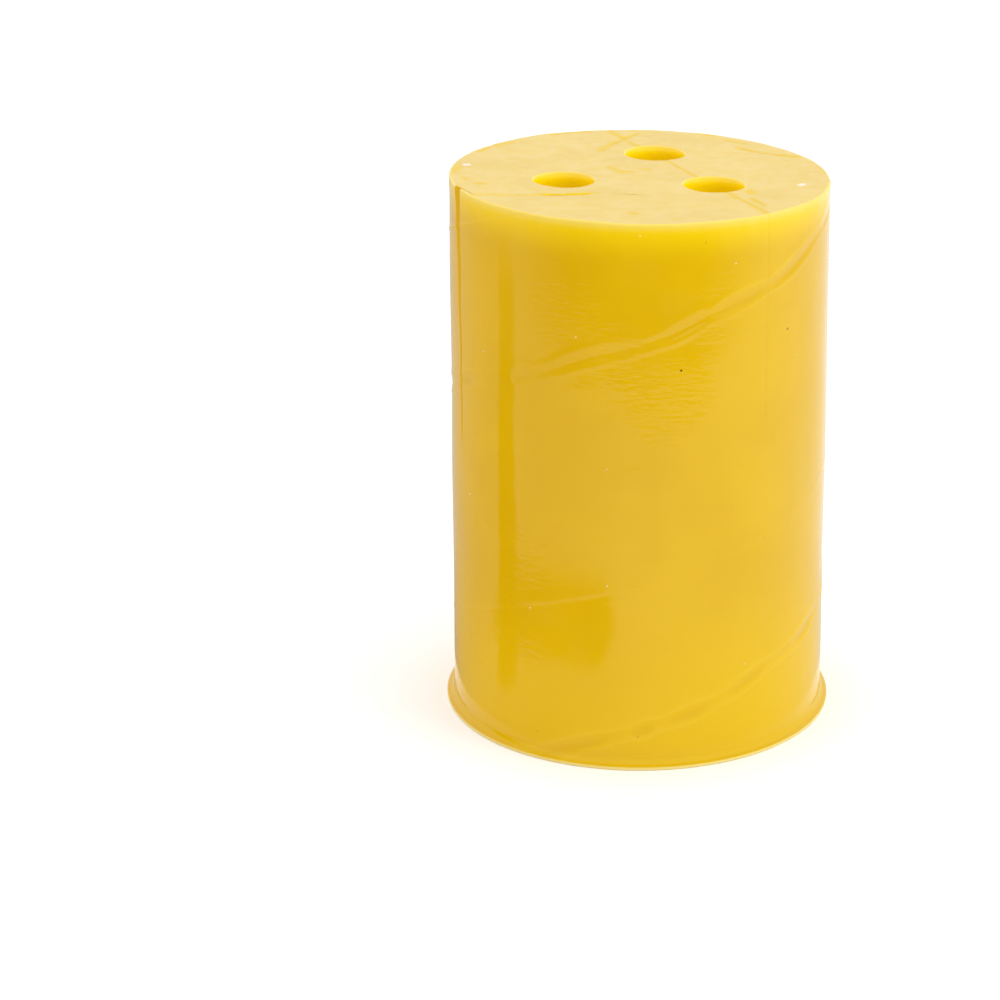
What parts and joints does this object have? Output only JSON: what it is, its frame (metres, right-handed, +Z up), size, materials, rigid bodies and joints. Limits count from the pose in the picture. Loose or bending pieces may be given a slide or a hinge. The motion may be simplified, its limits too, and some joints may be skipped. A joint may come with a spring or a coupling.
{
  "type": "candle mould",
  "caption": "Cylindrical block of flexible rubber with twisted candle cavities, pouring holes in its top face and release slits that let its upper half open.",
  "frame": {"origin": "centre of the base, on the surface that the mould stands on", "axes": "+Z up along the cavities, -Y towards the side with the front flap, +X to the right seen from that side"},
  "size_m": [0.0934, 0.0934, 0.133],
  "materials": {
    "mould_rubber": "cast polyurethane or silicone rubber, translucent honey yellow, glossy wall with the print of a spirally wound tube, paler satin pouring face"
  },
  "bodies": {
    "block": {"base_block": "mould_rubber", "main_half": "mould_rubber"},
    "right_side": {"right_half": "mould_rubber"},
    "flap": {"front_flap": "mould_rubber"}
  },
  "joints": [
    {"name": "right_half_bend", "type": "hinge", "parent": "block", "child": "right_side", "pos_m": [0.04024, 0.01946, 0.067], "axis": [-0.4352, 0.9003, 0], "range_deg": [0, 12], "stiffness_Nm_per_rad": 4},
    {"name": "front_flap_bend", "type": "hinge", "parent": "block", "child": "flap", "pos_m": [-0.0265, -0.03606, 0.09854], "axis": [0.4196, -0.3083, 0.8537], "range_deg": [0, 12], "stiffness_Nm_per_rad": 1}
  ]
}
